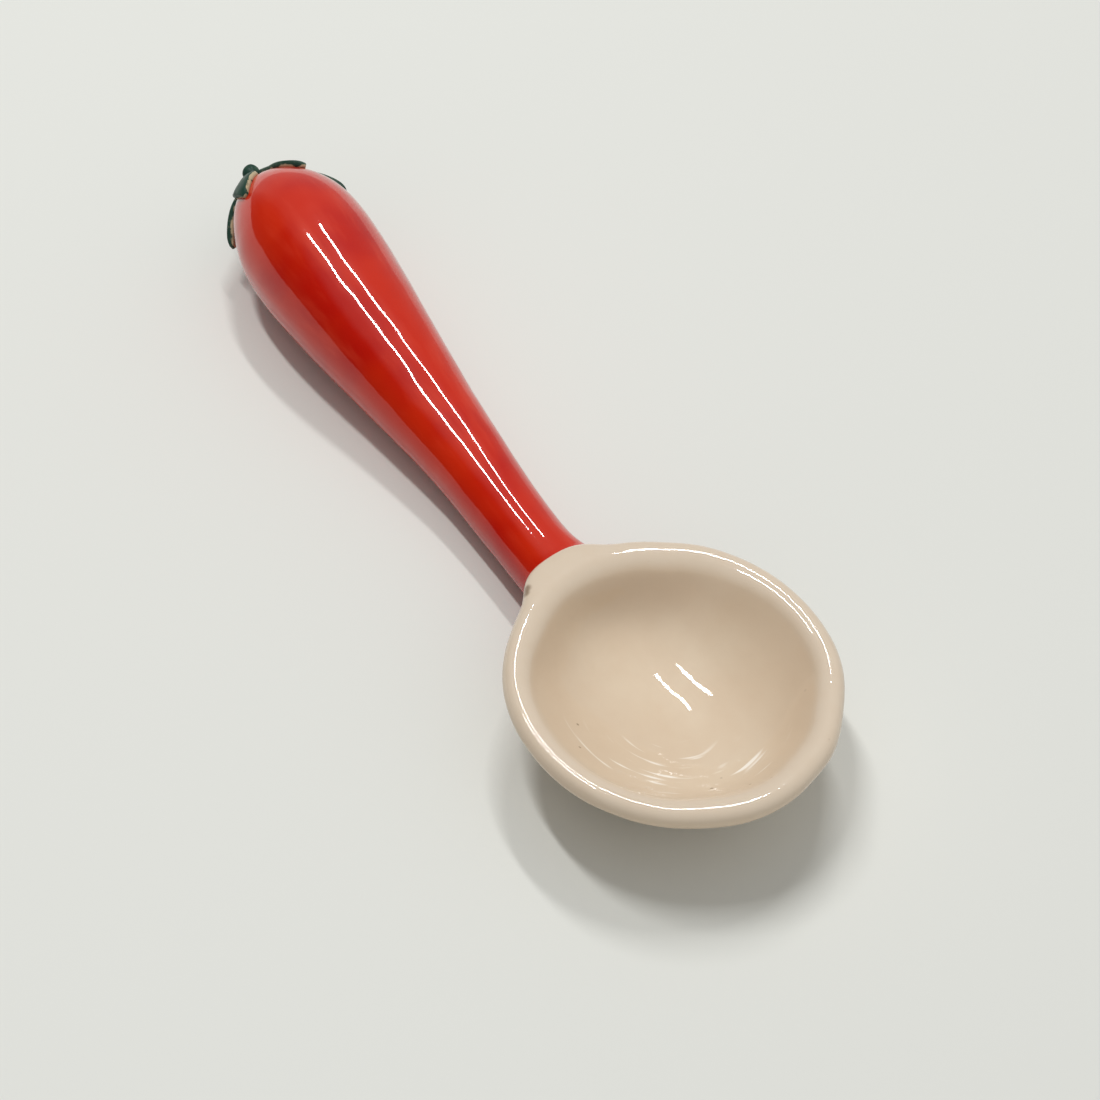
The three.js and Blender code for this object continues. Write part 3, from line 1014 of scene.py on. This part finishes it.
def shape_stem(handle, calyx):
    """The stem: a spread base, a neck and a round tip along an arc that bends up."""
    tip = calyx.stem / 2
    neck = calyx.stem_neck / 2
    base = calyx.stem_base / 2
    sides = 40
    neck_steps = 14
    ball_steps = 16
    bend_radius = calyx.stem_length / calyx.stem_bend
    middle = handle_centre(handle, handle.reach)

    def place(along, radius, turn):
        around = along / bend_radius
        out = bend_radius - radius * math.cos(turn)
        return Vector(
            (
                bowl_axis - handle.reach - out * math.sin(around),
                middle.x + radius * math.sin(turn),
                middle.y + bend_radius - out * math.cos(around),
            )
        )

    ball_start = calyx.stem_length - tip - math.sqrt(tip**2 - neck**2)
    outline = [(-STEM_SUNK, base * STEM_SPREAD)]
    for i in range(neck_steps):
        share = i / neck_steps
        outline.append((ball_start * share, lerp(base, neck, 1 - (1 - share) ** STEM_TAPER)))
    first = math.asin(-(calyx.stem_length - tip - ball_start) / tip)
    for i in range(ball_steps):
        turn = lerp(first, math.pi / 2, i / ball_steps)
        outline.append((calyx.stem_length - tip + tip * math.sin(turn), tip * math.cos(turn)))
    rings = [
        [place(along, radius, 2 * math.pi * i / sides) for i in range(sides)] for along, radius in outline
    ]
    piece = skin("calyx_stem", rings, None, place(calyx.stem_length, 0, 0))
    dent(piece, STEM_DENTS, STEM_DENT_GRAIN)
    return piece


class SPOON_OT_stem(bpy.types.Operator):
    """Make the stem that bends up from the middle of the calyx"""

    bl_idname = "spoon.stem"
    bl_label = "Stem"

    def execute(self, context):
        _, handle, calyx, _ = settings(context)
        finish_piece(shape_stem(handle, calyx), green_glaze(calyx, "stem_glaze"), "green_glaze", "stem")
        return {"FINISHED"}


# Stage

# Tube lamps overhead, along the handle: lean from upright towards +Y, power in watts and place along X
LAMPS = ((-4, 20, -0.85), (20, 17.2, -0.95))
ROOM_LEVEL = 0.39
# Dim and bright parts of the room: the way to look at one, and its level at its edge and in its middle,
# each after how straight one looks at it, which is 1 for straight at it
ROOM_PARTS = (
    (Vector((-0.55, -0.82, 0.15)), (0.6, 1), (0.8, 0.12)),
    (Vector((0, 1, 0)), (-0.1, 1), (0.8, 1.15)),
    (Vector((0.72, -0.32, 0.62)), (0.1, 1), (0.9, 1.8)),
)
# Lens and sensor in millimetres, the point that the camera looks at, behind the bowl's axis and above the
# table, and how near it sees
PHOTO_LENS = 65.45
SENSOR = 36.0
AIM_BEHIND_BOWL = 32.4 * MM
AIM_HEIGHT = 10 * MM
CAMERA_NEAR = 0.01
# Half the width of the table, how far it stays under the spoon, and its finish
FLOOR_SIZE = 3.0
FLOOR_GAP = 0.02 * MM
FLOOR_ROUGHNESS = 0.55
FLOOR_SPECULAR = 0.2


def lay_floor(stage):
    """A plain pale table."""
    mesh = bmesh.new()
    bmesh.ops.create_grid(mesh, x_segments=1, y_segments=1, size=FLOOR_SIZE)
    data = bpy.data.meshes.new("table_top")
    mesh.to_mesh(data)
    mesh.free()
    floor = bpy.data.objects.new("table_top", data)
    floor.location.z = -FLOOR_GAP
    bpy.context.scene.collection.objects.link(floor)
    material = bpy.data.materials.new("table_white")
    material.use_nodes = True
    shader = material.node_tree.nodes["Principled BSDF"]
    shader.inputs["Base Color"].default_value = (*stage.floor, 1)
    shader.inputs["Roughness"].default_value = FLOOR_ROUGHNESS
    shader.inputs["Specular IOR Level"].default_value = FLOOR_SPECULAR
    data.materials.append(material)


def hang_lamps(stage):
    """Two tube lamps overhead, which leave the bright lines on the glaze."""
    for i, (lean, power, along) in enumerate(LAMPS):
        light = bpy.data.lights.new(f"tube_lamp_{i + 1}", "AREA")
        light.shape = "RECTANGLE"
        light.size = stage.lamp_length
        light.size_y = stage.lamp_width
        light.energy = power
        lamp = bpy.data.objects.new(light.name, light)
        lean = math.radians(lean)
        lamp.location = (along, math.tan(lean) * stage.lamp_height, stage.lamp_height)
        lamp.rotation_euler = (-lean, 0, 0)
        bpy.context.scene.collection.objects.link(lamp)


def light_room(stage):
    """Soft light from all round, with dim and bright parts."""
    world = bpy.data.worlds.new("pale_room")
    world.use_nodes = True
    room = NodeKit(world.node_tree, "Generated")
    level = ROOM_LEVEL
    for middle, (low, low_level), (high, high_level) in ROOM_PARTS:
        straight = room.vector_math("DOT_PRODUCT", room.place, middle.normalized())
        level = room.times(room.span(straight, low, high, low_level, high_level), level)
    background = room.nodes["Background"]
    background.inputs["Color"].default_value = (*stage.sky, 1)
    room.link(level, background.inputs["Strength"])
    bpy.context.scene.world = world


def place_camera(stage):
    """A camera that looks at the neck from the photograph's side."""
    heading = Vector((-math.sin(stage.camera_azimuth), math.cos(stage.camera_azimuth), 0))
    forward = heading * math.cos(stage.camera_elevation)
    forward.z = -math.sin(stage.camera_elevation)
    level = forward.cross(Vector((0, 0, 1))).normalized()
    upright = level.cross(forward)
    right = level * math.cos(stage.camera_roll) + upright * math.sin(stage.camera_roll)
    up = right.cross(forward)
    aim = Vector((bowl_axis - AIM_BEHIND_BOWL, 0, AIM_HEIGHT))
    lens = bpy.data.cameras.new("photo_camera")
    lens.lens = PHOTO_LENS
    lens.sensor_width = SENSOR
    lens.sensor_fit = "HORIZONTAL"
    lens.clip_start = CAMERA_NEAR
    camera = bpy.data.objects.new("photo_camera", lens)
    turn = Matrix((right, up, -forward)).transposed()
    camera.matrix_world = Matrix.Translation(aim - forward * stage.camera_distance) @ turn.to_4x4()
    bpy.context.scene.collection.objects.link(camera)
    bpy.context.scene.camera = camera


class SPOON_OT_stage(bpy.types.Operator):
    """Lay the floor, hang the lamps, light the room and place the camera"""

    bl_idname = "spoon.stage"
    bl_label = "Stage"

    def execute(self, context):
        _, _, _, stage = settings(context)
        context.scene.view_settings.view_transform = "Standard"
        lay_floor(stage)
        hang_lamps(stage)
        light_room(stage)
        place_camera(stage)
        return {"FINISHED"}


class SPOON_PT_panel(bpy.types.Panel):
    """Buttons and sizes for the spoon"""

    bl_idname = "SPOON_PT_panel"
    bl_label = "Spoon"
    bl_space_type = "VIEW_3D"
    bl_region_type = "UI"
    bl_category = "Spoon"

    def draw(self, context):
        column = self.layout.column()
        for operator in OPERATORS:
            column.operator(operator.bl_idname)
        for group in settings(context):
            box = self.layout.box()
            for name in group.__annotations__:
                box.prop(group, name)


SETTINGS = {
    "spoon_bowl": SpoonBowlSettings,
    "spoon_handle": SpoonHandleSettings,
    "spoon_calyx": SpoonCalyxSettings,
    "spoon_stage": SpoonStageSettings,
}
OPERATORS = (SPOON_OT_bowl, SPOON_OT_handle, SPOON_OT_leaves, SPOON_OT_stem, SPOON_OT_stage)
CLASSES = (*SETTINGS.values(), *OPERATORS, SPOON_PT_panel)


def register():
    """Adds the settings, operators and panel to Blender."""
    for item in CLASSES:
        bpy.utils.register_class(item)
    for name, group in SETTINGS.items():
        setattr(bpy.types.Scene, name, PointerProperty(type=group))


def unregister():
    """Takes them out again."""
    for name in SETTINGS:
        delattr(bpy.types.Scene, name)
    for item in reversed(CLASSES):
        bpy.utils.unregister_class(item)


def main():
    """Makes all pieces and the stage."""
    register()
    bpy.ops.spoon.bowl()
    bpy.ops.spoon.handle()
    bpy.ops.spoon.leaves()
    bpy.ops.spoon.stem()
    bpy.ops.spoon.stage()


if __name__ == "__main__":
    main()
